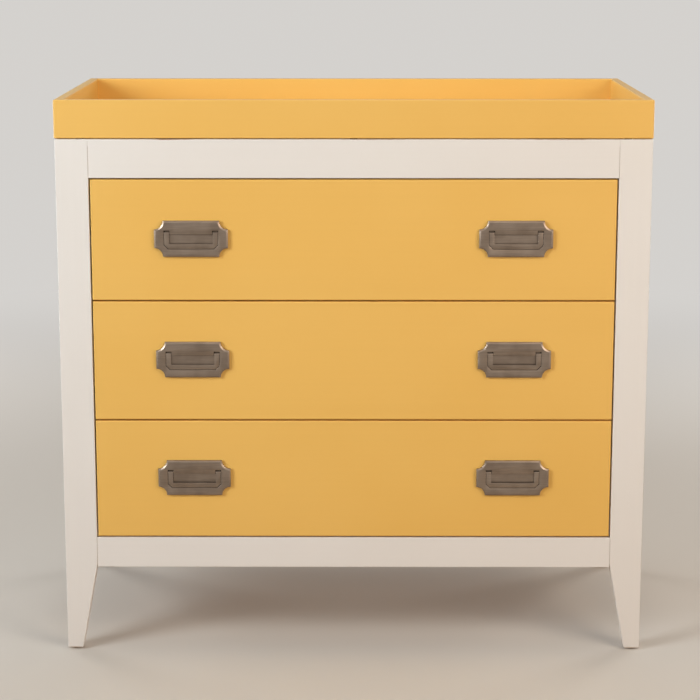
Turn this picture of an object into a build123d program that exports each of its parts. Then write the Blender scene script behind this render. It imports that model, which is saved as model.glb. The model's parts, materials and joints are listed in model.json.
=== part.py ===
from build123d import *
import os

# Three-drawer changing table: a case on tapered legs with a loose open tray on top.
# Millimetres. The front faces -Y, +X is to the right of someone facing it, and the
# origin lies on the floor under the middle of the whole table.

# Case frame
case_width = 950.0
case_depth = 480.0
floor_clearance = 143.5
bottom_rail_height = 50.5
top_rail_height = 62.0
rail_thickness = 22.0
frame_edge_round = 1.0

# Legs with an L section, tapered on their two inner edges from just above the rails' underside
leg_width = 52.5
leg_depth = 48.0
foot_width = 25.0
foot_depth = 25.0
foot_bevel = 2.0
foot_bevel_height = 2.5
foot_bevel_angle = 45.0
taper_above_rail = 5.0
glide_height = 3.0
glide_radius = 4.5
glide_stem_radius = 2.0
glide_stem_length = 16.0
glide_edge_round = 0.75

# Tenons of the rails, and tongues of the side panels
tenon_length = 20.0
tenon_thickness = 10.0
tenon_shoulder = 8.0
tongue_thickness = 8.0
tongue_length = 8.0

# Panels of the case
side_panel_thickness = 18.0
side_panel_inset = 5.0
top_panel_thickness = 18.0
back_panel_thickness = 6.0
back_panel_inset = 3.0
back_rebate_width = 10.0
back_panel_clearance = 0.3
glue_block_section = 20.0
glue_block_length = 70.0
glue_block_spacing = 420.0

# Wood screws of the back panel
wood_screw_radius = 1.6
wood_screw_length = 18.0
wood_screw_head_radius = 3.5
wood_screw_head_height = 2.0
wood_screw_clearance = 0.05
back_screw_columns = 5
back_screw_rows = 4

# Cross recess and eased rim of every screw head
recess_width = 0.9
recess_depth = 1.0
head_ease = 0.6

# Drawer fronts, set flush in the case with an even gap all round
drawer_names = ["bottom", "middle", "top"]
drawer_front_height = 195.0
drawer_front_thickness = 20.0
drawer_gap = 2.25
drawer_edge_round = 2.0

# Drawer boxes
drawer_side_thickness = 13.0
drawer_side_height = 158.0
drawer_side_lift = 14.0
drawer_back_thickness = 13.0
drawer_back_drop = 6.0
drawer_back_setback = 12.0
drawer_back_room = 26.0
drawer_dado_depth = 5.0
drawer_bottom_thickness = 5.0
drawer_bottom_lift = 10.0
drawer_bottom_groove = 6.0
drawer_top_round = 2.5
dovetail_neck = 7.0
dovetail_width = 10.0
dovetail_depth = 9.0

# Telescopic slides, three nested channels on each side of a drawer
slide_width = 12.7
slide_height = 45.0
slide_sheet = 1.2
slide_play = 0.35
slide_mouth_gap = 2.0
slide_front_setback = 3.0
slide_rear_setback = 22.0
slide_hole_radius = 4.5
slide_hole_columns = 4
slide_hole_end = 60.0
cleat_height = 45.0

# Pulls: a plate with scooped corners and a bail that lies flush in it
pull_inset = 160.25
pull_lift = 3.0
plate_width = 118.0
plate_height = 58.0
plate_thickness = 6.0
plate_scoop_radius = 14.0
plate_bevel_width = 2.6
plate_bevel_depth = 1.1
pocket_floor = 1.0
bail_width = 85.8
bail_arm_width = 8.0
bail_bar_height = 8.0
bail_thickness = 3.4
bail_sink = 0.2
bail_below_pivot = 25.4
bail_corner_cut = 6.5
bail_gap = 0.6
bail_edge_round = 0.5
pivot_above_centre = 9.4
pivot_slot_top = 4.0
window_below_pivot = 2.4
pivot_radius = 1.2
pivot_length = 2.0
pivot_clearance = 0.05
pivot_end_play = 0.3
pull_screw_radius = 2.0
pull_screw_spacing = 102.0
pull_screw_bite = 4.0
pull_screw_head_radius = 4.0
pull_screw_head_height = 2.6
pull_screw_clearance = 0.05

# Changing tray
tray_overhang = 1.0
tray_height = 61.0
tray_wall = 15.0
tray_floor_thickness = 12.0
tray_floor_lift = 6.0
tray_tongue_thickness = 6.0
tray_tongue_length = 6.0
tray_corner_round = 3.0
tray_edge_round = 2.0
tray_pad_height = 1.2
tray_pad_radius = 6.0
tray_pad_end = 40.0
tray_pad_columns = 3

# Places that follow from the sizes above
front_y = (plate_thickness - case_depth) / 2
rear_y = front_y + case_depth
outer_x = case_width / 2
inner_x = outer_x - leg_width
side_outer_x = outer_x - side_panel_inset
side_inner_x = side_outer_x - side_panel_thickness
rail_back_y = front_y + rail_thickness
back_face_y = rear_y - back_panel_inset
back_front_y = back_face_y - back_panel_thickness
rear_rail_y = back_front_y - rail_thickness
drawer_pitch = drawer_front_height + drawer_gap
opening_base = floor_clearance + bottom_rail_height
opening_top = opening_base + len(drawer_names) * drawer_pitch + drawer_gap
case_top = opening_top + top_rail_height
taper_top = floor_clearance + taper_above_rail
side_middle_x = (side_outer_x + side_inner_x) / 2

nodes = {}


def block(x, y, z):
    spans = (x, y, z)
    middle = [(a + b) / 2 for a, b in spans]
    return Pos(*middle) * Box(*[abs(b - a) for a, b in spans])


def prism(points, travel):
    outline = make_face(Polyline(*points, close=True))
    return extrude(outline, amount=Vector(*travel).length, dir=travel)


def rod(start, axis, radius, length):
    base = Plane(origin=start, z_dir=axis)
    return extrude(base * Circle(radius), amount=length)


def centred(middle, width):
    return (middle - width / 2, middle + width / 2)


def spread(count, reach):
    return [reach * (2 * step / (count - 1) - 1) for step in range(count)]


def mirrored(solid):
    return mirror(solid, about=Plane.YZ)


# Screw with a pan head and a cross recess, driven along the given direction
def cross_screw(seat, axis, radius, length, head_radius, head_height):
    place = Plane(origin=seat, z_dir=axis)
    shank = Pos(0, 0, length / 2) * Cylinder(radius, length)
    head = Pos(0, 0, -head_height / 2) * Cylinder(head_radius, head_height)
    head = chamfer(head.edges().group_by(Axis.Z)[0], head_ease)
    recess = Box(head_radius, recess_width, recess_depth) + Box(recess_width, head_radius, recess_depth)
    return place * (shank + head - Pos(0, 0, recess_depth / 2 - head_height) * recess)


# Case rails
def rail(y_span, z_span, faced):
    body = block((-inner_x, inner_x), y_span, z_span)
    if faced:
        front_edges = body.faces().sort_by(Axis.Y)[0].edges().filter_by(Axis.X)
        body = fillet(front_edges, frame_edge_round)
    return body + tenons(y_span, z_span)


def tenons(y_span, z_span):
    reach = inner_x + tenon_length
    y_cut = centred(sum(y_span) / 2, tenon_thickness)
    z_cut = (z_span[0] + tenon_shoulder, z_span[1] - tenon_shoulder)
    return block((-reach, reach), y_cut, z_cut)


front_rail_y = (front_y, rail_back_y)
rear_rail_span = (rear_rail_y, back_front_y)
bottom_rail_z = (floor_clearance, opening_base)
top_rail_z = (opening_top, case_top)
nodes["top_front_rail"] = rail(front_rail_y, top_rail_z, True)
nodes["bottom_front_rail"] = rail(front_rail_y, bottom_rail_z, True)
nodes["top_rear_rail"] = rail(rear_rail_span, top_rail_z, False)
nodes["bottom_rear_rail"] = rail(rear_rail_span, bottom_rail_z, False)


# Side panels, with a tongue along each upright edge
def side_panel():
    body = block(
        (side_inner_x, side_outer_x),
        (front_y + leg_depth, rear_y - leg_depth),
        (floor_clearance, case_top),
    )
    return body + side_tongues()


def side_tongues():
    y_span = (front_y + leg_depth - tongue_length, rear_y - leg_depth + tongue_length)
    return block(centred(side_middle_x, tongue_thickness), y_span, (floor_clearance, case_top))


right_side_panel = side_panel()
nodes["right_side_panel"] = right_side_panel
nodes["left_side_panel"] = mirrored(right_side_panel)


# Back panel in a rebate of the rear legs, screwed to the rails and the legs
back_half_width = inner_x + back_rebate_width - back_panel_clearance
rail_screw_x = spread(back_screw_columns, inner_x - leg_width)
leg_screw_x = inner_x + back_rebate_width / 2
opening_middle = (opening_base + opening_top) / 2
leg_screw_z = [opening_middle + dz for dz in spread(back_screw_rows, (opening_top - opening_base) / 2)]
back_screw_places = [(x, sum(z) / 2) for z in (bottom_rail_z, top_rail_z) for x in rail_screw_x]
back_screw_places += [(x, z) for x in (-leg_screw_x, leg_screw_x) for z in leg_screw_z]
hole_radius = wood_screw_radius + wood_screw_clearance
screw_holes = Part() + [
    rod((x, back_face_y, z), (0, -1, 0), hole_radius, wood_screw_length + wood_screw_clearance)
    for x, z in back_screw_places
]
back_panel_x = (-back_half_width, back_half_width)
back_panel = block(back_panel_x, (back_front_y, back_face_y), (floor_clearance, case_top))
nodes["back_panel"] = back_panel - screw_holes
nodes["back_panel_screws"] = [
    cross_screw(
        (x, back_face_y, z),
        (0, -1, 0),
        wood_screw_radius,
        wood_screw_length,
        wood_screw_head_radius,
        wood_screw_head_height,
    )
    for x, z in back_screw_places
]
for name in ("top_rear_rail", "bottom_rear_rail"):
    nodes[name] = nodes[name] - screw_holes


# Legs, made on the right and mirrored to the left: one leaf across the case and one along its side
glide_x = outer_x - foot_width / 2
glide_front_y = front_y + foot_depth / 2
glide_rear_y = rear_y - foot_depth / 2


def right_leg(y_out, inward, rail_y, leaf_y):
    y_in = y_out + inward * leg_depth
    foot_x = outer_x - foot_width
    foot_y = y_out + inward * foot_depth
    body = block((inner_x, outer_x), (y_out, y_in), (glide_height, case_top))
    body -= prism(
        [(inner_x, y_out, taper_top), (inner_x, y_out, glide_height), (foot_x, y_out, glide_height)],
        (0, inward * leg_depth, 0),
    )
    body -= prism(
        [(inner_x, y_in, taper_top), (inner_x, y_in, glide_height), (inner_x, foot_y, glide_height)],
        (leg_width, 0, 0),
    )
    upright = body.edges().filter_by(lambda edge: edge.bounding_box().size.Z > taper_above_rail)
    top_edges = body.faces().sort_by(Axis.Z)[-1].edges()
    body = fillet(upright + top_edges, frame_edge_round)
    body -= block((inner_x, side_inner_x), (leaf_y, y_in), (0, case_top))
    body -= tenons(rail_y, bottom_rail_z)
    body -= tenons(rail_y, top_rail_z)
    body -= side_tongues()
    stem = glide_stem_radius + wood_screw_clearance
    glide_y = y_out + inward * foot_depth / 2
    body -= foot_bevels(glide_y)
    return body - rod((glide_x, glide_y, glide_height), (0, 0, 1), stem, glide_stem_length)


# What the bevels take off round the bottom of a foot
def foot_bevels(y_middle):
    tip = Rectangle(foot_width - 2 * foot_bevel, foot_depth - 2 * foot_bevel)
    tip = Pos(glide_x, y_middle, glide_height) * tip
    kept = extrude(tip, amount=foot_bevel_height, taper=-foot_bevel_angle)
    z_span = (glide_height, glide_height + foot_bevel_height)
    return block((inner_x, outer_x), centred(y_middle, 2 * foot_depth), z_span) - kept


def rear_rebate():
    x_span = (inner_x, inner_x + back_rebate_width)
    return block(x_span, (back_front_y, rear_y), (0, case_top))


front_right_leg = right_leg(front_y, 1, front_rail_y, rail_back_y)
rear_right_leg = right_leg(rear_y, -1, rear_rail_span, rear_rail_y) - rear_rebate() - screw_holes
nodes["front_right_leg"] = front_right_leg
nodes["front_left_leg"] = mirrored(front_right_leg)
nodes["rear_right_leg"] = rear_right_leg
nodes["rear_left_leg"] = mirrored(rear_right_leg)


def glide(x, y):
    disc = Pos(x, y, glide_height / 2) * Cylinder(glide_radius, glide_height)
    disc = fillet(disc.edges().group_by(Axis.Z)[0], glide_edge_round)
    return disc + rod((x, y, glide_height), (0, 0, 1), glide_stem_radius, glide_stem_length)


nodes["leg_glides"] = [glide(x, y) for x in (-glide_x, glide_x) for y in (glide_front_y, glide_rear_y)]

# Top panel, flush with the rails, its corners in the angles of the legs
top_panel_z = (case_top - top_panel_thickness, case_top)
nodes["top_panel"] = block((-side_inner_x, side_inner_x), (rail_back_y, rear_rail_y), top_panel_z)

glue_block_z = (top_panel_z[0] - glue_block_section, top_panel_z[0])
nodes["top_glue_blocks"] = [
    block(centred(x, glue_block_length), y_span, glue_block_z)
    for x in (-glue_block_spacing / 2, glue_block_spacing / 2)
    for y_span in (
        (rail_back_y, rail_back_y + glue_block_section),
        (rear_rail_y - glue_block_section, rear_rail_y),
    )
]

# Telescopic slides, in section on the right-hand side: u runs from the case to the drawer
drawer_box_half = inner_x - slide_width
drawer_back_of_front = front_y + drawer_front_thickness
drawer_rear_y = back_front_y - drawer_back_room
slide_span = (drawer_back_of_front + slide_front_setback, drawer_rear_y - slide_rear_setback)
cabinet_half = slide_height / 2
carriage_half = cabinet_half - slide_sheet - slide_play
member_half = carriage_half - slide_sheet - slide_play
carriage_web = slide_sheet + slide_play
cabinet_mouth = slide_width - slide_sheet - slide_mouth_gap
carriage_mouth = cabinet_mouth - slide_sheet - slide_play
member_start = carriage_web + slide_sheet + slide_play


def slide_block(u_span, v_span, middle):
    x_span = (inner_x - u_span[1], inner_x - u_span[0])
    return block(x_span, slide_span, (middle + v_span[0], middle + v_span[1]))


def channel(u_span, web_span, half, middle):
    body = slide_block(u_span, (-half, half), middle)
    body -= slide_block(u_span, (slide_sheet - half, half - slide_sheet), middle)
    return body + slide_block(web_span, (-half, half), middle)


def cabinet_member(middle):
    body = channel((0, cabinet_mouth), (0, slide_sheet), cabinet_half, middle)
    lip_u = (cabinet_mouth - slide_sheet, cabinet_mouth)
    lip_base = member_half + slide_play
    body += slide_block(lip_u, (lip_base, cabinet_half), middle)
    return body + slide_block(lip_u, (-cabinet_half, -lip_base), middle)


# The holes reach the screws of the other members
def carriage_member(middle):
    web = (carriage_web, carriage_web + slide_sheet)
    body = channel((carriage_web, carriage_mouth), web, carriage_half, middle)
    slide_centre = (slide_span[0] + slide_span[1]) / 2
    hole_reach = (slide_span[1] - slide_span[0]) / 2 - slide_hole_end
    for y in spread(slide_hole_columns, hole_reach):
        body -= rod((inner_x, slide_centre + y, middle), (-1, 0, 0), slide_hole_radius, web[1])
    return body


def drawer_member(middle):
    web = (slide_width - slide_sheet, slide_width)
    return channel((member_start, slide_width), web, member_half, middle)


def drawer_base(level):
    return opening_base + drawer_gap + level * drawer_pitch


def slide_middle(level):
    return drawer_base(level) + drawer_side_lift + drawer_side_height / 2


def cleat(level):
    z_span = centred(slide_middle(level), cleat_height)
    return block((inner_x, side_inner_x), (rail_back_y, rear_rail_y), z_span)


levels = range(len(drawer_names))
right_cleats = [cleat(level) for level in levels]
right_cabinet_slides = [cabinet_member(slide_middle(level)) for level in levels]
nodes["right_slide_cleats"] = right_cleats
nodes["left_slide_cleats"] = [mirrored(solid) for solid in right_cleats]
nodes["right_cabinet_slides"] = right_cabinet_slides
nodes["left_cabinet_slides"] = [mirrored(solid) for solid in right_cabinet_slides]

# Pull, made about the middle of its plate with the drawer front at y = 0
pocket_half = bail_width / 2 + bail_gap
pocket_base = pivot_above_centre - bail_below_pivot - bail_gap
slot_top = pivot_above_centre + pivot_slot_top
slot_inner = bail_width / 2 - bail_arm_width - bail_gap
window_top = pivot_above_centre - window_below_pivot
bail_back = bail_sink + bail_thickness - plate_thickness
bail_front = bail_sink - plate_thickness
pivot_y = (bail_back + bail_front) / 2
bail_base = pivot_above_centre - bail_below_pivot


def at_front(points, y):
    return [(x, y, z) for x, z in points]


# Half outlines from the lower middle to the top, closed by their mirror image
def both_halves(points):
    return points + [(-x, z) for x, z in reversed(points)]


def pull_plate():
    outline = Rectangle(plate_width, plate_height)
    for x in (-plate_width / 2, plate_width / 2):
        for z in (-plate_height / 2, plate_height / 2):
            outline -= Pos(x, z) * Circle(plate_scoop_radius)
    body = extrude(Plane.XZ * outline, amount=plate_thickness)
    face = body.faces().sort_by(Axis.Y)[0]
    body = chamfer(face.edges(), plate_bevel_depth, plate_bevel_width, reference=face)
    pocket = both_halves([
        (pocket_half - bail_corner_cut, pocket_base),
        (pocket_half, pocket_base + bail_corner_cut),
        (pocket_half, slot_top),
        (slot_inner, slot_top),
        (slot_inner, window_top),
    ])
    body -= prism(at_front(pocket, -plate_thickness), (0, plate_thickness - pocket_floor, 0))
    bore_half = bail_width / 2 + pivot_length + pivot_end_play
    bore_radius = pivot_radius + pivot_clearance
    body -= rod((-bore_half, pivot_y, pivot_above_centre), (1, 0, 0), bore_radius, 2 * bore_half)
    for x in centred(0, pull_screw_spacing):
        body -= rod((x, 0, 0), (0, -1, 0), pull_screw_radius + pull_screw_clearance, pull_screw_bite)
    return body


def bail():
    half = bail_width / 2
    arm_inner = half - bail_arm_width
    bar_top = bail_base + bail_bar_height
    outline = both_halves([
        (half - bail_corner_cut, bail_base),
        (half, bail_base + bail_corner_cut),
        (half, pivot_above_centre),
        (arm_inner, pivot_above_centre),
        (arm_inner, bar_top),
    ])
    body = prism(at_front(outline, bail_front), (0, bail_thickness, 0))
    face = body.faces().sort_by(Axis.Y)[0]
    round_edges = face.edges().filter_by(lambda edge: edge.center().Z < pivot_above_centre - bail_edge_round)
    body = fillet(round_edges, bail_edge_round)
    for side in (-1, 1):
        start = (side * arm_inner, pivot_y, pivot_above_centre)
        body += rod(start, (side, 0, 0), bail_thickness / 2, bail_arm_width)
        body += rod(start, (side, 0, 0), pivot_radius, bail_arm_width + pivot_length)
    return body


def pull_screw(x):
    return cross_screw(
        (x, drawer_front_thickness, 0),
        (0, -1, 0),
        pull_screw_radius,
        drawer_front_thickness + pull_screw_bite - pull_screw_clearance,
        pull_screw_head_radius,
        pull_screw_head_height,
    )


plate_shape = pull_plate()
bail_shape = bail()
pull_screw_shapes = [pull_screw(x) for x in centred(0, pull_screw_spacing)]


# Drawers: sides slid into the front on a dovetail, back in a dado, bottom in a groove
def dovetail(x_middle, z_span):
    neck = centred(x_middle, dovetail_neck)
    tip = centred(x_middle, dovetail_width)
    tip_y = drawer_back_of_front - dovetail_depth
    corners = [
        (neck[0], drawer_back_of_front, z_span[0]),
        (neck[1], drawer_back_of_front, z_span[0]),
        (tip[1], tip_y, z_span[0]),
        (tip[0], tip_y, z_span[0]),
    ]
    return prism(corners, (0, 0, z_span[1] - z_span[0]))


def drawer(name, level):
    base = drawer_base(level)
    front_half = inner_x - drawer_gap
    side_z = (base + drawer_side_lift, base + drawer_side_lift + drawer_side_height)
    side_x = (drawer_box_half - drawer_side_thickness, drawer_box_half)
    side_middle = sum(side_x) / 2
    floor_z = (side_z[0] + drawer_bottom_lift, side_z[0] + drawer_bottom_lift + drawer_bottom_thickness)
    back_y = (
        drawer_rear_y - drawer_back_setback - drawer_back_thickness,
        drawer_rear_y - drawer_back_setback,
    )
    floor_half = side_x[0] + drawer_bottom_groove
    floor_y = (drawer_back_of_front - drawer_bottom_groove, back_y[1])
    floor = block((-floor_half, floor_half), floor_y, floor_z)

    back_half = side_x[0] + drawer_dado_depth
    back = block((-back_half, back_half), back_y, (floor_z[1], side_z[1] - drawer_back_drop))

    side = block(side_x, (drawer_back_of_front, drawer_rear_y), side_z)
    side = fillet(side.faces().sort_by(Axis.Z)[-1].edges().filter_by(Axis.Y), drawer_top_round)
    side = side + dovetail(side_middle, side_z) - floor - back

    front = block(
        (-front_half, front_half), (front_y, drawer_back_of_front), (base, base + drawer_front_height)
    )
    front = fillet(front.faces().sort_by(Axis.Y)[0].edges(), drawer_edge_round)
    socket = dovetail(side_middle, (base, side_z[1]))
    front = front - socket - mirrored(socket) - floor

    pull_z = base + drawer_front_height / 2 + pull_lift
    pull_x = (pull_inset - front_half, front_half - pull_inset)
    pull_places = [Pos(x, front_y, pull_z) for x in pull_x]
    hole = pull_screw_radius + pull_screw_clearance
    for x in [pull + bolt for pull in pull_x for bolt in centred(0, pull_screw_spacing)]:
        front -= rod((x, front_y, pull_z), (0, 1, 0), hole, drawer_front_thickness)

    middle = slide_middle(level)
    member = drawer_member(middle)
    carriage = carriage_member(middle)
    nodes[name + "_drawer_front"] = front
    nodes[name + "_drawer_right_side"] = side
    nodes[name + "_drawer_left_side"] = mirrored(side)
    nodes[name + "_drawer_back"] = back
    nodes[name + "_drawer_bottom"] = floor
    nodes[name + "_drawer_slides"] = [member, mirrored(member)]
    nodes[name + "_slide_carriages"] = [carriage, mirrored(carriage)]
    nodes[name + "_pull_plates"] = [place * plate_shape for place in pull_places]
    nodes[name + "_pull_screws"] = [place * screw for place in pull_places for screw in pull_screw_shapes]
    nodes[name + "_left_bail"] = pull_places[0] * bail_shape
    nodes[name + "_right_bail"] = pull_places[1] * bail_shape


for level, name in enumerate(drawer_names):
    drawer(name, level)

# Changing tray: a mitred frame round a floor panel, on thin pads
tray_base = case_top + tray_pad_height
tray_z = (tray_base, tray_base + tray_height)
tray_half = outer_x + tray_overhang
tray_inner_half = tray_half - tray_wall
tray_y = (front_y, rear_y)
tray_inner_y = (front_y + tray_wall, rear_y - tray_wall)
floor_base = tray_base + tray_floor_lift
floor_top = floor_base + tray_floor_thickness


def tray_floor():
    body = block((-tray_inner_half, tray_inner_half), tray_inner_y, (floor_base, floor_top))
    reach = tray_inner_half + tray_tongue_length
    reach_y = (tray_inner_y[0] - tray_tongue_length, tray_inner_y[1] + tray_tongue_length)
    return body + block((-reach, reach), reach_y, (floor_base, floor_base + tray_tongue_thickness))


def tray_frame():
    body = block((-tray_half, tray_half), tray_y, tray_z)
    body = fillet(body.edges().filter_by(Axis.Z), tray_corner_round)
    body -= block((-tray_inner_half, tray_inner_half), tray_inner_y, tray_z)
    faces = body.faces().filter_by(Axis.Z).sort_by(Axis.Z)
    body = fillet(faces[-1].edges() + faces[0].outer_wire().edges(), tray_edge_round)
    return body - nodes["tray_floor"]


# The part of the frame between two mitres, as seen from above
def mitred_rail(frame, corners):
    return frame & prism([(x, y, tray_z[0]) for x, y in corners], (0, 0, tray_height))


nodes["tray_floor"] = tray_floor()
frame = tray_frame()
mitre = tray_wall
out_x = tray_half + mitre
in_x = tray_half - 2 * mitre
out_y = (tray_y[0] - mitre, tray_y[1] + mitre)
in_y = (tray_y[0] + 2 * mitre, tray_y[1] - 2 * mitre)
right_rail = mitred_rail(frame, [(out_x, out_y[0]), (out_x, out_y[1]), (in_x, in_y[1]), (in_x, in_y[0])])
nodes["tray_front_rail"] = mitred_rail(
    frame, [(-out_x, out_y[0]), (out_x, out_y[0]), (in_x, in_y[0]), (-in_x, in_y[0])]
)
nodes["tray_rear_rail"] = mitred_rail(
    frame, [(-out_x, out_y[1]), (out_x, out_y[1]), (in_x, in_y[1]), (-in_x, in_y[1])]
)
nodes["tray_right_rail"] = right_rail
nodes["tray_left_rail"] = mirrored(right_rail)
nodes["tray_pads"] = [
    rod((x, y, case_top), (0, 0, 1), tray_pad_radius, tray_pad_height)
    for x in spread(tray_pad_columns, tray_half - tray_pad_end)
    for y in (tray_y[0] + tray_wall / 2, tray_y[1] - tray_wall / 2)
]

os.makedirs("parts", exist_ok=True)
for name, shape in nodes.items():
    solids = shape if isinstance(shape, list) else [shape]
    solids = [solid for part in solids for solid in part.solids()]
    export_step(Compound(children=solids), os.path.join("parts", name + ".step"))
print("nodes", len(nodes), "height", tray_z[1])
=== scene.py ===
import bmesh
import bpy
import json
import math
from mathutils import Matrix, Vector


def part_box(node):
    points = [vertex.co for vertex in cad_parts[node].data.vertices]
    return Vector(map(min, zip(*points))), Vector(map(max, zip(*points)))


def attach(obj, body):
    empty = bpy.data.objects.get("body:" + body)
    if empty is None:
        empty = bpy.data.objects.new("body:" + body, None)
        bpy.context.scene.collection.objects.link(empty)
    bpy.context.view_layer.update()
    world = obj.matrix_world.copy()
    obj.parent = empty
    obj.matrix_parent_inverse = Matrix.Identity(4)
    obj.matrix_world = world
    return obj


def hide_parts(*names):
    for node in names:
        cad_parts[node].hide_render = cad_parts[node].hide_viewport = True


# Changing table: white case, yellow drawers and tray, nickel bail pulls. Metres, front towards -Y.
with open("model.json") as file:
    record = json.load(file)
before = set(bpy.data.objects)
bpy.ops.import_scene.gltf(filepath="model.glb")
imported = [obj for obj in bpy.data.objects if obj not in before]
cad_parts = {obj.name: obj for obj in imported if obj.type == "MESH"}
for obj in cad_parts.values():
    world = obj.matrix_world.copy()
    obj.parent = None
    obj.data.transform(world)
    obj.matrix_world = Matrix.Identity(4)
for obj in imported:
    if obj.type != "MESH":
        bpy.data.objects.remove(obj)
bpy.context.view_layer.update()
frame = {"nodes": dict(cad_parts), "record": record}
nodes = frame["nodes"]
bpy.ops.object.select_all(action="DESELECT")
print("frame loaded:", len(nodes), "nodes")

slotOf = {part["node"]: part["material_slot"] for part in frame["record"]["subparts"]}
drawerNames = ["bottom", "middle", "top"]

camera = {
    "imageWidth": 700,          # pixels, square
    "focalPixels": 2098,
    "sensor": 36.0,             # millimetres
    "place": (0.0065, -3.563, 1.183),
    "pitch": 11.45,             # degrees below level
    "turn": 0.21,
}

# spread in degrees, power in watts
lamps = {
    "windowSoftbox": {"place": (-2.4, -1.9, 1.6), "size": 1.3, "spread": 80, "power": 14.7,
                      "tint": (0.88, 0.955, 1.0)},
    "fillSoftbox": {"place": (1.9, -2.0, 1.55), "size": 1.6, "spread": 140, "power": 22.3,
                    "tint": (1.0, 0.87, 0.735)},
    "ceilingSoftbox": {"place": (0.1, 0.25, 2.9), "size": 2.0, "spread": 180, "power": 8.0,
                       "tint": (1.0, 0.975, 0.94)},
    "highSoftbox": {"place": (0.1, -2.5, 2.55), "size": 1.0, "spread": 180, "power": 3.3,
                    "tint": (1.0, 0.96, 0.90)},
    "rearLeftSoftbox": {"place": (-2.3, 2.0, 0.8), "size": 1.3, "spread": 180, "power": 34.0,
                        "tint": (1.0, 0.98, 0.95)},
    "rearRightSoftbox": {"place": (2.3, 2.0, 0.8), "size": 1.3, "spread": 180, "power": 34.0,
                         "tint": (1.0, 0.98, 0.95)},
}
lampTarget = (0.0, 0.0, 0.85)

room = {
    "skyTint": (1.0, 0.975, 0.945),
    "skyStrength": 0.25,
    "paleGrey": (0.66, 0.64, 0.615),
    "floorTone": (0.70, 0.655, 0.60),
    "floorBounce": (0.50, 0.36, 0.25),    # warmer, for the light that the floor throws up
    "floorRadius": 60.0,
    "floorSides": 128,
    "fadeStart": 0.9,           # where the floor starts to turn into the backdrop
    "fadeEnd": 3.4,
}


def setCamera():
    lens = camera["focalPixels"] / camera["imageWidth"] * camera["sensor"]
    tilt = math.radians(90 - camera["pitch"])
    bpy.ops.object.camera_add(location=camera["place"], rotation=(tilt, 0, math.radians(camera["turn"])))
    eye = bpy.context.object
    eye.name = "photoCamera"
    eye.data.sensor_width = camera["sensor"]
    eye.data.lens = lens
    bpy.context.scene.camera = eye


def setLamps():
    for name, lamp in lamps.items():
        aim = Vector(lampTarget) - Vector(lamp["place"])
        turn = aim.to_track_quat("-Z", "Y").to_euler()
        bpy.ops.object.light_add(type="AREA", location=lamp["place"], rotation=turn)
        light = bpy.context.object
        light.name = name
        light.data.size = lamp["size"]
        light.data.spread = math.radians(lamp["spread"])
        light.data.energy = lamp["power"]
        light.data.color = lamp["tint"]


# nodes of a material: settings are node attributes, inputs take a value or a socket
def addNode(tree, kind, settings=None, **inputs):
    node = tree.nodes.new("ShaderNode" + kind)
    for key, value in (settings or {}).items():
        setattr(node, key, value)
    for key, value in inputs.items():
        socket = node.inputs[key]
        if isinstance(value, bpy.types.NodeSocket):
            tree.links.new(value, socket)
        else:
            socket.default_value = value
    return node


def calc(tree, operation, first, second=0.0):
    node = addNode(tree, "Math", {"operation": operation})
    for socket, value in zip(node.inputs, (first, second)):
        if isinstance(value, bpy.types.NodeSocket):
            tree.links.new(value, socket)
        else:
            socket.default_value = value
    return node.outputs[0]


def remap(tree, value, low, high, outLow=0.0, outHigh=1.0):
    node = addNode(tree, "MapRange", {"interpolation_type": "SMOOTHSTEP"})
    tree.links.new(value, node.inputs["Value"])
    for key, number in (("From Min", low), ("From Max", high), ("To Min", outLow), ("To Max", outHigh)):
        node.inputs[key].default_value = number
    return node.outputs["Result"]


# sockets of the Mix node that work on colours
mixSockets = {"factor": 0, "first": 6, "second": 7, "result": 2}


def mixColours(tree, factor, first, second):
    node = addNode(tree, "Mix", {"data_type": "RGBA"})
    for key, value in (("factor", factor), ("first", first), ("second", second)):
        socket = node.inputs[mixSockets[key]]
        if isinstance(value, bpy.types.NodeSocket):
            tree.links.new(value, socket)
        elif key == "factor":
            socket.default_value = value
        else:
            socket.default_value = (*value, 1)
    return node.outputs[mixSockets["result"]]


def scaleColour(tree, colour, factor):
    node = addNode(tree, "VectorMath", {"operation": "SCALE"})
    tree.links.new(colour, node.inputs[0])
    tree.links.new(factor, node.inputs["Scale"])
    return node.outputs[0]


evenly = (1, 1, 1)


# noise of a scale in cycles per metre, drawn out by the stretch
def noise(tree, place, stretch, scale, detail=3.0, roughness=0.5, distortion=0.0):
    spread = addNode(tree, "Mapping", Vector=place, Scale=stretch)
    grain = addNode(tree, "TexNoise", Vector=spread.outputs[0], Scale=scale, Detail=detail,
                    Roughness=roughness, Distortion=distortion)
    return grain.outputs["Fac"]


def startFinish(name, roughness, metal=0.0):
    finish = bpy.data.materials.new(name)
    finish.use_nodes = True
    tree = finish.node_tree
    shader = tree.nodes["Principled BSDF"]
    shader.inputs["Roughness"].default_value = roughness
    shader.inputs["Metallic"].default_value = metal
    place = addNode(tree, "TexCoord").outputs["Object"]
    return finish, tree, shader, place


def addBump(tree, shader, height, strength, distance):
    bump = addNode(tree, "Bump", Height=height, Strength=strength, Distance=distance)
    tree.links.new(bump.outputs[0], shader.inputs["Normal"])


axes = {"x": 0, "y": 1, "z": 2}


def alongAxis(axis, along, across):
    return tuple(along if index == axes[axis] else across for index in range(3))


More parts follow.
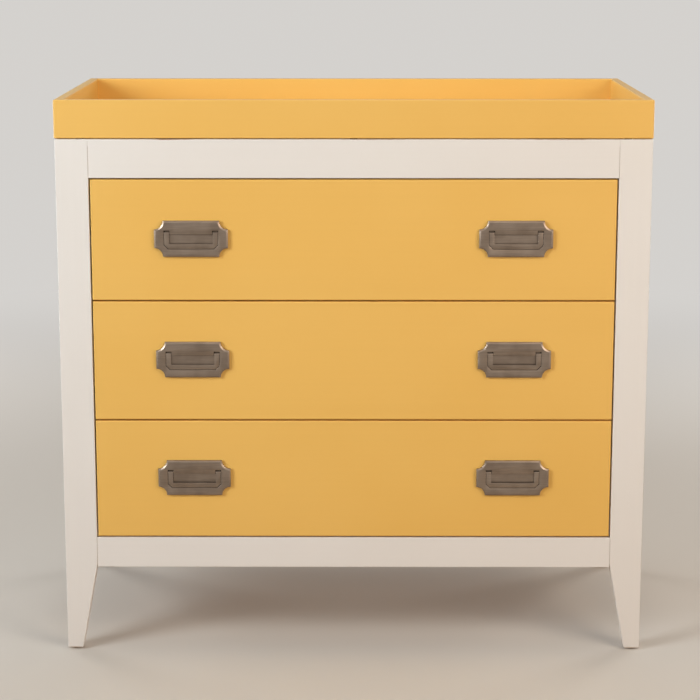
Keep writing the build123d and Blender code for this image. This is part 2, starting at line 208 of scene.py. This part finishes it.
whitePaint = {"tone": (0.83, 0.795, 0.755), "shade": (0.815, 0.775, 0.73), "gloss": (0.40, 0.47)}
yellowPaint = {"tone": (0.865, 0.52, 0.128), "shade": (0.845, 0.498, 0.115), "gloss": (0.38, 0.45)}
paintGrain = {
    "driftScale": 2.6,
    "drift": (0.35, 0.65),      # noise levels between which the tone turns into the shade
    "brush": (2.0, 160.0),      # noise scales along and across the board
    "brushLevels": (0.3, 0.7),
    "glossLevels": (0.25, 0.75),
    "streak": (0.996, 1.003),
    "peelScale": 620.0,
    "brushHeight": 0.25,
    "peelHeight": 0.6,
    "bump": 0.1,
    "bumpDepth": 0.0003,
}


# satin paint: slow drift of tone, faint brush lines along the board, fine orange peel
def paintFinish(name, look, axis):
    grain = paintGrain
    finish, tree, shader, place = startFinish(name, sum(look["gloss"]) / 2)
    drift = remap(tree, noise(tree, place, evenly, grain["driftScale"]), *grain["drift"])
    brush = noise(tree, place, alongAxis(axis, *grain["brush"]), 1.0, roughness=0.55)
    peel = noise(tree, place, evenly, grain["peelScale"], detail=2.0)
    tone = mixColours(tree, drift, look["tone"], look["shade"])
    streak = remap(tree, brush, *grain["brushLevels"], *grain["streak"])
    tree.links.new(scaleColour(tree, tone, streak), shader.inputs["Base Color"])
    gloss = remap(tree, brush, *grain["glossLevels"], *look["gloss"])
    tree.links.new(gloss, shader.inputs["Roughness"])
    lines = calc(tree, "MULTIPLY", brush, grain["brushHeight"])
    height = calc(tree, "ADD", lines, calc(tree, "MULTIPLY", peel, grain["peelHeight"]))
    addBump(tree, shader, height, grain["bump"], grain["bumpDepth"])
    return finish


# hairline cracks in the paint where the front rails meet the legs
railCrack = {
    "dirt": (0.36, 0.27, 0.20),
    "width": 0.0003,
    "softEdge": 0.2,            # share of the width
    "bridged": 0.014,           # under the top, where the paint still bridges the joint
    "fade": 0.006,
}


def crackedPaint(name, look, axis):
    crackLook = railCrack
    finish = paintFinish(name, look, axis)
    tree = finish.node_tree
    shader = tree.nodes["Principled BSDF"]
    parts = addNode(tree, "SeparateXYZ", Vector=addNode(tree, "TexCoord").outputs["Object"])
    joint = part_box("front_right_leg")[0][0]
    aside = calc(tree, "ABSOLUTE", parts.outputs["X"])
    outer = joint - crackLook["width"] * (1 - crackLook["softEdge"])
    inner = joint - crackLook["width"] * (1 + crackLook["softEdge"])
    crack = remap(tree, aside, inner, outer)
    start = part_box("top_front_rail")[1][2] - crackLook["bridged"]
    below = remap(tree, parts.outputs["Z"], start, start + crackLook["fade"], 1.0, 0.0)
    paint = shader.inputs["Base Color"].links[0].from_socket
    dirty = mixColours(tree, calc(tree, "MULTIPLY", crack, below), paint, crackLook["dirt"])
    tree.links.new(dirty, shader.inputs["Base Color"])
    return finish


# painted shade: dark brown marks along the front rail's top edge, in the uneven gap under the tray
gapShadeMarks = {
    "shadeTone": (0.34, 0.18, 0.095),
    "depth": 0.0013,
    "depthFade": 0.7,           # share of the depth with the full painted shade
    "reach": 0.0032,            # how far the painted shade runs back on the top
    "reachFade": 0.6,
    "ragScale": 55.0,
    "ragLevels": (0.3, 0.7),
    "ragged": (0.35, 1.0),
    "fade": 0.012,
    "spans": ((-0.318, -0.250, 0.9), (-0.026, 0.086, 0.5), (0.283, 0.372, 0.5)),    # start, end, strength
}


# cracked white paint with the painted shade from under the tray added
def gapShadedPaint(name, look, axis):
    gapShade = gapShadeMarks
    finish = crackedPaint(name, look, axis)
    tree = finish.node_tree
    shader = tree.nodes["Principled BSDF"]
    place = addNode(tree, "TexCoord").outputs["Object"]
    parts = addNode(tree, "SeparateXYZ", Vector=place)
    rag = noise(tree, place, evenly, gapShade["ragScale"])
    ragged = remap(tree, rag, *gapShade["ragLevels"], *gapShade["ragged"])
    low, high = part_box("top_front_rail")
    drop = calc(tree, "DIVIDE", calc(tree, "SUBTRACT", high[2], parts.outputs["Z"]), ragged)
    back = calc(tree, "DIVIDE", calc(tree, "SUBTRACT", parts.outputs["Y"], low[1]), ragged)
    nearTop = remap(tree, drop, gapShade["depth"] * gapShade["depthFade"], gapShade["depth"], 1.0, 0.0)
    nearFront = remap(tree, back, gapShade["reach"] * gapShade["reachFade"], gapShade["reach"], 1.0, 0.0)
    nearEdge = calc(tree, "MULTIPLY", nearTop, nearFront)
    shadeMask = 0.0
    for start, end, strength in gapShade["spans"]:
        rise = remap(tree, parts.outputs["X"], start, start + gapShade["fade"], 0.0, strength)
        fall = remap(tree, parts.outputs["X"], end - gapShade["fade"], end, 1.0, 0.0)
        shadeMask = calc(tree, "MAXIMUM", calc(tree, "MULTIPLY", rise, fall), shadeMask)
    paint = shader.inputs["Base Color"].links[0].from_socket
    # dark brown painted shade along the edge
    shaded = mixColours(tree, calc(tree, "MULTIPLY", shadeMask, nearEdge), paint, gapShade["shadeTone"])
    tree.links.new(shaded, shader.inputs["Base Color"])
    return finish


paleWood = {"light": (0.66, 0.47, 0.28), "dark": (0.52, 0.33, 0.17), "pore": (0.34, 0.20, 0.10)}
woodGrain = {
    "roughness": 0.48,
    "figure": (1.4, 24.0),      # noise scales along and across the grain
    "rings": (2.2, 130.0),
    "fibre": (14.0, 900.0),
    "figureLevels": (0.32, 0.68),
    "ringLevels": (0.50, 0.64),
    "ringStrength": 0.6,
    "poreLevels": (0.60, 0.78),
    "poreStrength": 0.55,
    "glossLevels": (0.3, 0.7),
    "gloss": (0.40, 0.56),
    "bump": 0.12,
    "bumpDepth": 0.0003,
}


# sealed wood with its grain along one axis
def woodFinish(name, look, axis):
    grain = woodGrain
    finish, tree, shader, place = startFinish(name, grain["roughness"])
    figure = noise(tree, place, alongAxis(axis, *grain["figure"]), 1.0,
                   detail=5.0, roughness=0.55, distortion=0.8)
    rings = noise(tree, place, alongAxis(axis, *grain["rings"]), 1.0,
                  detail=4.0, roughness=0.6, distortion=0.5)
    fibre = noise(tree, place, alongAxis(axis, *grain["fibre"]), 1.0, roughness=0.6)
    tone = mixColours(tree, remap(tree, figure, *grain["figureLevels"]), look["light"], look["dark"])
    dark = remap(tree, rings, *grain["ringLevels"], 0.0, grain["ringStrength"])
    tone = mixColours(tree, dark, tone, look["dark"])
    pores = remap(tree, fibre, *grain["poreLevels"], 0.0, grain["poreStrength"])
    tree.links.new(mixColours(tree, pores, tone, look["pore"]), shader.inputs["Base Color"])
    gloss = remap(tree, fibre, *grain["glossLevels"], *grain["gloss"])
    tree.links.new(gloss, shader.inputs["Roughness"])
    addBump(tree, shader, fibre, grain["bump"], grain["bumpDepth"])
    return finish


agedNickel = {"metal": (0.315, 0.245, 0.19), "patina": (0.22, 0.163, 0.122), "gloss": (0.30, 0.42)}
wornNickel = {"metal": (0.50, 0.42, 0.345), "patina": (0.38, 0.30, 0.24), "gloss": (0.22, 0.34)}
# painted shade: near-black metal for the walls of the pull's pocket and the band round its floor
recessShadeNickel = {"metal": (0.085, 0.062, 0.046), "patina": (0.055, 0.039, 0.028), "gloss": (0.45, 0.60)}
# painted shade: darker metal for the sides of the bail
sideShadeNickel = {"metal": (0.19, 0.145, 0.11), "patina": (0.13, 0.096, 0.071), "gloss": (0.36, 0.50)}
nickelGrain = {
    "roughness": 0.35,
    "cloudScale": 34.0,
    "cloudLevels": (0.35, 0.68),
    "patinaShare": 0.6,
    "brush": (24.0, 1500.0),    # noise scales along and across the lines
    "brushLevels": (0.3, 0.7),
    "glossLevels": (0.25, 0.75),
    "streak": (0.88, 1.08),
    "bump": 0.08,
    "bumpDepth": 0.0001,
}


# brushed nickel gone brown with age, with the brush lines across the pull
def nickelFinish(name, look):
    grain = nickelGrain
    finish, tree, shader, place = startFinish(name, grain["roughness"], metal=1.0)
    cloud = remap(tree, noise(tree, place, evenly, grain["cloudScale"], detail=2.0), *grain["cloudLevels"])
    brush = noise(tree, place, alongAxis("x", *grain["brush"]), 1.0, roughness=0.6)
    streak = remap(tree, brush, *grain["brushLevels"], *grain["streak"])
    patina = calc(tree, "MULTIPLY", cloud, grain["patinaShare"])
    tone = mixColours(tree, patina, look["metal"], look["patina"])
    tree.links.new(scaleColour(tree, tone, streak), shader.inputs["Base Color"])
    gloss = remap(tree, brush, *grain["glossLevels"], *look["gloss"])
    tree.links.new(gloss, shader.inputs["Roughness"])
    addBump(tree, shader, brush, grain["bump"], grain["bumpDepth"])
    return finish


zincSteel = {"metal": (0.64, 0.65, 0.67), "dull": (0.56, 0.57, 0.585), "gloss": (0.24, 0.36)}
zincGrain = {
    "roughness": 0.35,
    "cloudScale": 240.0,
    "cloudLevels": (0.35, 0.68),
    "rolled": (12.0, 900.0),    # noise scales along and across the slides
    "glossLevels": (0.25, 0.75),
    "bump": 0.06,
    "bumpDepth": 0.0001,
}


def zincFinish(name, look):
    grain = zincGrain
    finish, tree, shader, place = startFinish(name, grain["roughness"], metal=1.0)
    cloud = remap(tree, noise(tree, place, evenly, grain["cloudScale"]), *grain["cloudLevels"])
    rolled = noise(tree, place, alongAxis("y", *grain["rolled"]), 1.0)
    tree.links.new(mixColours(tree, cloud, look["metal"], look["dull"]), shader.inputs["Base Color"])
    gloss = remap(tree, rolled, *grain["glossLevels"], *look["gloss"])
    tree.links.new(gloss, shader.inputs["Roughness"])
    addBump(tree, shader, rolled, grain["bump"], grain["bumpDepth"])
    return finish


paleNylon = {"tone": (0.66, 0.58, 0.50), "scuff": (0.42, 0.34, 0.27), "roughness": 0.5}
darkRubber = {"tone": (0.055, 0.050, 0.046), "scuff": (0.10, 0.09, 0.085), "roughness": 0.72}
mouldedGrain = {
    "pebbleScale": 900.0,
    "scuffScale": 160.0,
    "scuffLevels": (0.55, 0.75),
    "bump": 0.2,
    "bumpDepth": 0.0002,
}


def mouldedFinish(name, look):
    grain = mouldedGrain
    finish, tree, shader, place = startFinish(name, look["roughness"])
    pebble = noise(tree, place, evenly, grain["pebbleScale"], detail=2.0)
    scuff = remap(tree, noise(tree, place, evenly, grain["scuffScale"], detail=4.0), *grain["scuffLevels"])
    tree.links.new(mixColours(tree, scuff, look["tone"], look["scuff"]), shader.inputs["Base Color"])
    addBump(tree, shader, pebble, grain["bump"], grain["bumpDepth"])
    return finish


backBoard = {"tone": (0.76, 0.74, 0.70), "shade": (0.70, 0.675, 0.63), "gloss": (0.42, 0.55)}
birchPly = {"light": (0.70, 0.53, 0.34), "dark": (0.58, 0.40, 0.23), "pore": (0.42, 0.27, 0.15)}

made = {}


# the finish for a record slot on a board that runs along the given axis
def finishFor(slot, axis):
    makers = {
        "white_paint": ("whitePaint", lambda name: paintFinish(name, whitePaint, axis)),
        "yellow_paint": ("yellowPaint", lambda name: paintFinish(name, yellowPaint, axis)),
        "back_board": ("backBoard", lambda name: paintFinish(name, backBoard, axis)),
        "bare_wood": ("paleWood", lambda name: woodFinish(name, paleWood, axis)),
        "drawer_ply": ("birchPly", lambda name: woodFinish(name, birchPly, axis)),
        "aged_nickel": ("agedNickel", lambda name: nickelFinish(name, agedNickel)),
        "zinc_steel": ("zincSteel", lambda name: zincFinish(name, zincSteel)),
        "pale_nylon": ("paleNylon", lambda name: mouldedFinish(name, paleNylon)),
        "dark_rubber": ("darkRubber", lambda name: mouldedFinish(name, darkRubber)),
    }
    word, make = makers[slot]
    name = word + axis.upper()
    if name not in made:
        made[name] = make(name)
    return made[name]


def boardAxis(node):
    low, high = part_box(node)
    sides = [high[index] - low[index] for index in range(3)]
    return "xyz"[sides.index(max(sides))]


def dressNodes():
    for node, piece in nodes.items():
        piece.data.materials.clear()
        piece.data.materials.append(finishFor(slotOf[node], boardAxis(node)))
    # the top rail carries the painted shade of the gap under the tray
    nodes["top_front_rail"].data.materials[0] = gapShadedPaint("gapShadedPaint", whitePaint, "x")
    nodes["bottom_front_rail"].data.materials[0] = crackedPaint("crackedPaint", whitePaint, "x")


# shared by the modelled pieces
modelling = {
    "near": 1e-5,               # metres, for places that are meant to be the same
    "facing": 0.9,              # part of a normal along an axis, for faces that look that way
    "sideways": 0.3,            # largest part along Z on the sides of a bail
    "wall": 0.1,                # largest part along Z on the pocket's walls
    "flatAngle": math.radians(1),
    "smoothAngle": math.radians(35),
    "quarterTurn": math.radians(90),
}


# edit-mode selection by place
def pick(piece, kind, test):
    bpy.ops.mesh.select_mode(type=kind)
    bpy.ops.mesh.select_all(action="DESELECT")
    mesh = bmesh.from_edit_mesh(piece.data)
    for item in {"VERT": mesh.verts, "EDGE": mesh.edges, "FACE": mesh.faces}[kind]:
        if test(item):
            item.select_set(True)
    mesh.select_flush_mode()
    bmesh.update_edit_mesh(piece.data)


def edgeMiddle(edge):
    return (edge.verts[0].co + edge.verts[1].co) / 2


def flatSheet(name, left, right, base, top):
    bpy.ops.object.select_all(action="DESELECT")
    bpy.ops.mesh.primitive_plane_add(size=1, location=((left + right) / 2, (base + top) / 2, 0))
    piece = bpy.context.object
    piece.name = name
    piece.scale = (right - left, top - base, 1)
    bpy.ops.object.transform_apply(location=True, rotation=True, scale=True)
    return piece


def applyModifier(piece, kind, **settings):
    modifier = piece.modifiers.new(kind.lower(), kind)
    for key, value in settings.items():
        setattr(modifier, key, value)
    bpy.ops.object.select_all(action="DESELECT")
    piece.select_set(True)
    bpy.context.view_layer.objects.active = piece
    bpy.ops.object.modifier_apply(modifier=modifier.name)


# a U in the XY plane: a bar with the lower corners cut, and an arm up each end
def uShape(name, half, base, barTop, armInner, armTop, cut):
    piece = flatSheet(name, -half, half, base, barTop)
    bpy.ops.object.mode_set(mode="EDIT")
    for x in (-armInner, armInner):
        bpy.ops.mesh.select_all(action="SELECT")
        bpy.ops.mesh.bisect(plane_co=(x, 0, 0), plane_no=(1, 0, 0))
    near = modelling["near"]
    pick(piece, "EDGE", lambda edge: abs(edgeMiddle(edge).x) > armInner + near
         and abs(edgeMiddle(edge).y - barTop) < near)
    bpy.ops.mesh.extrude_region_move(TRANSFORM_OT_translate={"value": (0, armTop - barTop, 0)})
    pick(piece, "VERT", lambda vert: abs(abs(vert.co.x) - half) < near and abs(vert.co.y - base) < near)
    bpy.ops.mesh.bevel(affect="VERTICES", offset=cut, segments=1)
    bpy.ops.mesh.select_all(action="SELECT")
    bpy.ops.mesh.dissolve_limited(angle_limit=modelling["flatAngle"])
    return piece


def thicken(start, height):
    bpy.ops.mesh.select_all(action="SELECT")
    bpy.ops.mesh.extrude_region_move(TRANSFORM_OT_translate={"value": (0, 0, height)})
    bpy.ops.mesh.select_all(action="SELECT")
    bpy.ops.mesh.normals_make_consistent(inside=False)
    bpy.ops.transform.translate(value=(0, 0, start))


pullPlate = {
    "width": 0.118,
    "height": 0.058,
    "thickness": 0.00598,
    "scoop": 0.014,
    "scoopSteps": 14,
    "scoopProfile": 0.0858,     # hollow quarter circle
    "rim": 0.0026,
    "rimDrop": 0.0011,
    "pocketFloor": 0.001,
    "pocketHalf": 0.0435,
    "pocketBase": -0.0166,
    "pocketCut": 0.0065,
    "windowTop": 0.0070,
    "slotInner": 0.0343,
    "slotTop": 0.0134,
    "edge": 0.00035,
    "edgeSteps": 3,
    "edgeAngle": math.radians(20),
    "mouthEdge": 0.00025,
    "mouthSteps": 2,
    "shadeBand": 0.0012,            # width of the band of painted shade round the pocket's floor
}


# face metal, worn metal of the edges and a darker metal that paints shade on walls and sides, in a piece's
# list
metalPlaces = ["face", "edge", "side"]


def dressMetal(piece, sides):
    metals = {"face": finishFor("aged_nickel", "x"), "edge": brightEdge, "side": sides}
    piece.data.materials.clear()
    for place in metalPlaces:
        piece.data.materials.append(metals[place])


# paints shade: gives the selected faces the darker metal of the side slot
def paintShade(piece):
    piece.active_material_index = metalPlaces.index("side")
    bpy.ops.object.material_slot_assign()
    bpy.ops.object.mode_set(mode="OBJECT")


# plate of a pull, face up on the XY plane, with scooped corners, a sloping rim and a pocket for the bail
def modelPlate():
    look = pullPlate
    halfWidth, halfHeight = look["width"] / 2, look["height"] / 2
    plate = flatSheet("pullPlate", -halfWidth, halfWidth, -halfHeight, halfHeight)
    bpy.ops.object.mode_set(mode="EDIT")
    bpy.ops.mesh.select_all(action="SELECT")
    bpy.ops.mesh.bevel(affect="VERTICES", offset=look["scoop"], segments=look["scoopSteps"],
                       profile=look["scoopProfile"])
    thicken(0, look["thickness"] - look["rimDrop"])
    pick(plate, "FACE", lambda face: face.normal.z > modelling["facing"])
    bpy.ops.mesh.inset(thickness=look["rim"], depth=look["rimDrop"])
    bpy.ops.object.mode_set(mode="OBJECT")

    dressMetal(plate, paintedWallShade)
    applyModifier(plate, "BEVEL", width=look["edge"], segments=look["edgeSteps"], limit_method="ANGLE",
                  angle_limit=look["edgeAngle"], material=metalPlaces.index("edge"))

    # the pocket is a bar with two slots, cut from the window up, with painted shade round its floor and on
    # its walls
    pocket = uShape("pullPocket", look["pocketHalf"], look["pocketBase"], look["windowTop"],
                    look["slotInner"], look["slotTop"], look["pocketCut"])
    thicken(look["pocketFloor"], look["thickness"])
    bpy.ops.object.mode_set(mode="OBJECT")
    dressMetal(pocket, paintedWallShade)
    bpy.ops.object.mode_set(mode="EDIT")
    pick(pocket, "FACE", lambda face: face.normal.z < -modelling["facing"])
    bpy.ops.mesh.inset(thickness=look["shadeBand"], depth=0)
    bpy.ops.mesh.select_all(action="INVERT")
    paintShade(pocket)
    applyModifier(plate, "BOOLEAN", object=pocket, operation="DIFFERENCE", solver="EXACT")
    bpy.data.objects.remove(pocket)
    bpy.ops.object.mode_set(mode="EDIT")
    pick(plate, "EDGE", lambda edge: edgeMiddle(edge).z > look["thickness"] - modelling["near"]
         and any(abs(face.normal.z) < modelling["wall"] for face in edge.link_faces))
    bpy.ops.mesh.bevel(affect="EDGES", offset=look["mouthEdge"], segments=look["mouthSteps"])
    bpy.ops.object.mode_set(mode="OBJECT")
    bpy.ops.object.shade_smooth_by_angle(angle=modelling["smoothAngle"])
    return plate


pullBail = {
    "half": 0.0429,
    "base": -0.0160,
    "barTop": -0.0080,
    "armInner": 0.0349,
    "pivot": 0.0094,
    "cut": 0.0065,
    "thickness": 0.0034,
    "back": 0.0024,             # how far the back of the bail stands off the drawer
    "endSteps": 6,
    "endShare": 0.999,          # of the end's radius, so that the two roundings don't meet
    "edge": 0.0005,
    "edgeSteps": 3,
    "edgeAngle": math.radians(35),
    "pinRadius": 0.0012,
    "pinLength": 0.0022,
    "pinSink": 0.0004,          # how far a pin runs into its arm
    "pinSides": 20,
    "pinEdge": 0.0002,
    "pinEdgeSteps": 2,
    "pinEdgeAngle": math.radians(40),
}


# bail on the XY plane like its plate: arms with round ends and a pivot pin outside each
def modelBail():
    look = pullBail
    endRadius = look["thickness"] / 2
    armTop = look["pivot"] + endRadius
    bail = uShape("pullBail", look["half"], look["base"], look["barTop"],
                  look["armInner"], armTop, look["cut"])
    thicken(look["back"], look["thickness"])
    near = modelling["near"]
    pick(bail, "EDGE", lambda edge: all(abs(vert.co.y - armTop) < near for vert in edge.verts)
         and abs(edge.verts[0].co.z - edge.verts[1].co.z) < near)
    bpy.ops.mesh.bevel(affect="EDGES", offset=endRadius * look["endShare"], segments=look["endSteps"])
    bpy.ops.object.mode_set(mode="OBJECT")
    dressMetal(bail, paintedSideShade)
    bpy.ops.object.mode_set(mode="EDIT")
    # painted shade on the bail's sides
    pick(bail, "FACE", lambda face: abs(face.normal.z) < modelling["sideways"])
    paintShade(bail)
    applyModifier(bail, "BEVEL", width=look["edge"], segments=look["edgeSteps"], limit_method="ANGLE",
                  angle_limit=look["edgeAngle"], material=metalPlaces.index("edge"))
    pins = []
    pinX = look["half"] + look["pinLength"] / 2 - look["pinSink"]
    for side in (-1, 1):
        bpy.ops.object.select_all(action="DESELECT")
        bpy.ops.mesh.primitive_cylinder_add(
            vertices=look["pinSides"], radius=look["pinRadius"], depth=look["pinLength"],
            location=(side * pinX, look["pivot"], look["back"] + endRadius),
            rotation=(0, modelling["quarterTurn"], 0))
        pin = bpy.context.object
        dressMetal(pin, paintedSideShade)
        bpy.ops.object.transform_apply(location=True, rotation=True, scale=True)
        applyModifier(pin, "BEVEL", width=look["pinEdge"], segments=look["pinEdgeSteps"],
                      limit_method="ANGLE", angle_limit=look["pinEdgeAngle"])
        pins.append(pin)
    joinAll([bail] + pins)
    bpy.ops.object.shade_smooth_by_angle(angle=modelling["smoothAngle"])
    return bail


# a copy with its own mesh
def placed(model, name, place, turn):
    bpy.ops.object.select_all(action="DESELECT")
    model.select_set(True)
    bpy.context.view_layer.objects.active = model
    bpy.ops.object.duplicate()
    piece = bpy.context.object
    piece.name = name
    piece.rotation_euler = turn
    piece.location = place
    bpy.ops.object.transform_apply(location=True, rotation=True, scale=True)
    return piece


def joinAll(pieces):
    bpy.ops.object.select_all(action="DESELECT")
    for piece in pieces:
        piece.select_set(True)
    bpy.context.view_layer.objects.active = pieces[0]
    bpy.ops.object.join()
    return pieces[0]


def fitPulls():
    plate = modelPlate()
    bail = modelBail()
    upright = (modelling["quarterTurn"], 0, 0)
    for drawer in drawerNames:
        low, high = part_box(drawer + "_pull_plates")
        middleZ = (low[2] + high[2]) / 2
        places = {"left": low[0] + pullPlate["width"] / 2, "right": high[0] - pullPlate["width"] / 2}
        pair = joinAll([placed(plate, drawer + "PullPlates", (x, high[1], middleZ), upright)
                        for x in places.values()])
        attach(pair, drawer + "_drawer")
        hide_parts(drawer + "_pull_plates")
        for side, x in places.items():
            swing = placed(bail, drawer + side.capitalize() + "Bail", (x, high[1], middleZ), upright)
            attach(swing, drawer + "_" + side + "_handle")
            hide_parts(drawer + "_" + side + "_bail")
    bpy.data.objects.remove(plate)
    bpy.data.objects.remove(bail)


slideScrew = {
    "headRadius": 0.0033,
    "headHeight": 0.0016,
    "headSides": 28,
    "crown": 0.0008,
    "crownSteps": 4,
    "crossLength": 0.0036,
    "crossWidth": 0.0008,
    "crossDepth": 0.0009,
    "web": 0.0012,              # sheet of the slide, between head and drawer side
    "columns": 4,
    "end": 0.06,                # from the slide's end to its first screw
}


# pan head with a cross, its seat on the XY plane
def modelSlideScrew():
    look = slideScrew
    bpy.ops.object.select_all(action="DESELECT")
    bpy.ops.mesh.primitive_cylinder_add(vertices=look["headSides"], radius=look["headRadius"],
                                        depth=look["headHeight"], location=(0, 0, look["headHeight"] / 2))
    screw = bpy.context.object
    bpy.ops.object.transform_apply(location=True, rotation=True, scale=True)
    bpy.ops.object.mode_set(mode="EDIT")
    rimHeight = look["headHeight"] - modelling["near"]
    pick(screw, "EDGE", lambda edge: all(vert.co.z > rimHeight for vert in edge.verts))
    bpy.ops.mesh.bevel(affect="EDGES", offset=look["crown"], segments=look["crownSteps"])
    bpy.ops.object.mode_set(mode="OBJECT")
    long, wide = look["crossLength"], look["crossWidth"]
    for side, other in ((long, wide), (wide, long)):
        bpy.ops.object.select_all(action="DESELECT")
        bpy.ops.mesh.primitive_cube_add(size=1, location=(0, 0, look["headHeight"]))
        slot = bpy.context.object
        slot.scale = (side, other, look["crossDepth"] * 2)
        bpy.ops.object.transform_apply(location=True, rotation=True, scale=True)
        applyModifier(screw, "BOOLEAN", object=slot, operation="DIFFERENCE", solver="EXACT")
        bpy.data.objects.remove(slot)
    screw.data.materials.clear()
    screw.data.materials.append(finishFor("zinc_steel", "y"))
    bpy.ops.object.shade_smooth_by_angle(angle=modelling["smoothAngle"])
    return screw


# screws in the channels on both sides of each drawer
def fitSlideScrews():
    look = slideScrew
    screw = modelSlideScrew()
    for drawer in drawerNames:
        low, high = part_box(drawer + "_drawer_slides")
        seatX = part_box(drawer + "_drawer_right_side")[1][0] + look["web"]
        middleY, middleZ = (low[1] + high[1]) / 2, (low[2] + high[2]) / 2
        reach = (high[1] - low[1]) / 2 - look["end"]
        heads = []
        for side in (-1, 1):
            turn = (0, side * modelling["quarterTurn"], 0)
            for column in range(look["columns"]):
                y = middleY + reach * (2 * column / (look["columns"] - 1) - 1)
                heads.append(placed(screw, drawer + "SlideScrews", (side * seatX, y, middleZ), turn))
        joined = joinAll(heads)
        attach(joined, drawer + "_drawer")
    bpy.data.objects.remove(screw)


# 1 for the rays that show the backdrop, 0 for those that light the table
def seenRays(tree):
    path = addNode(tree, "LightPath")
    seen = calc(tree, "MAXIMUM", path.outputs["Is Camera Ray"], path.outputs["Is Glossy Ray"])
    return calc(tree, "MAXIMUM", seen, path.outputs["Is Transmission Ray"])


# floor that keeps the shadow near the table and turns into the backdrop further out
def setRoom():
    scene = bpy.context.scene
    scene.view_settings.view_transform = "Standard"
    world = bpy.data.worlds.new("studio")
    scene.world = world
    world.use_nodes = True
    tree = world.node_tree
    tree.nodes.clear()
    seen = seenRays(tree)
    sky = addNode(tree, "Background", Color=(*room["skyTint"], 1), Strength=room["skyStrength"])
    backdrop = addNode(tree, "Background", Color=(*room["paleGrey"], 1), Strength=1.0)
    mix = addNode(tree, "MixShader", Fac=seen)
    tree.links.new(sky.outputs[0], mix.inputs[1])
    tree.links.new(backdrop.outputs[0], mix.inputs[2])
    out = addNode(tree, "OutputWorld")
    tree.links.new(mix.outputs[0], out.inputs["Surface"])

    bpy.ops.mesh.primitive_circle_add(vertices=room["floorSides"], radius=room["floorRadius"],
                                      fill_type="NGON")
    floor = bpy.context.object
    floor.name = "studioFloor"
    finish, tree, shader, place = startFinish("studioFloor", 1.0)
    shader.inputs["Specular IOR Level"].default_value = 0.0
    seen = seenRays(tree)
    tone = mixColours(tree, seen, room["floorBounce"], room["floorTone"])
    tree.links.new(tone, shader.inputs["Base Color"])
    reach = addNode(tree, "VectorMath", {"operation": "LENGTH"}, Vector=place)
    far = remap(tree, reach.outputs["Value"], room["fadeStart"], room["fadeEnd"])
    glow = addNode(tree, "Emission", Color=(*room["paleGrey"], 1), Strength=1.0)
    fade = addNode(tree, "MixShader", Fac=calc(tree, "MULTIPLY", far, seen))
    tree.links.new(shader.outputs[0], fade.inputs[1])
    tree.links.new(glow.outputs[0], fade.inputs[2])
    tree.links.new(fade.outputs[0], tree.nodes["Material Output"].inputs["Surface"])
    floor.data.materials.append(finish)


setCamera()
setLamps()
setRoom()
print("camera, lamps and floor set")
dressNodes()
print("finishes on the frame:", len(made))
brightEdge = nickelFinish("wornNickel", wornNickel)
# darker metals that paint shade in the pocket and on the bail's sides
paintedWallShade = nickelFinish("recessShadeNickel", recessShadeNickel)
paintedSideShade = nickelFinish("sideShadeNickel", sideShadeNickel)
fitPulls()
print("pulls fitted")
fitSlideScrews()
print("slide screws fitted")
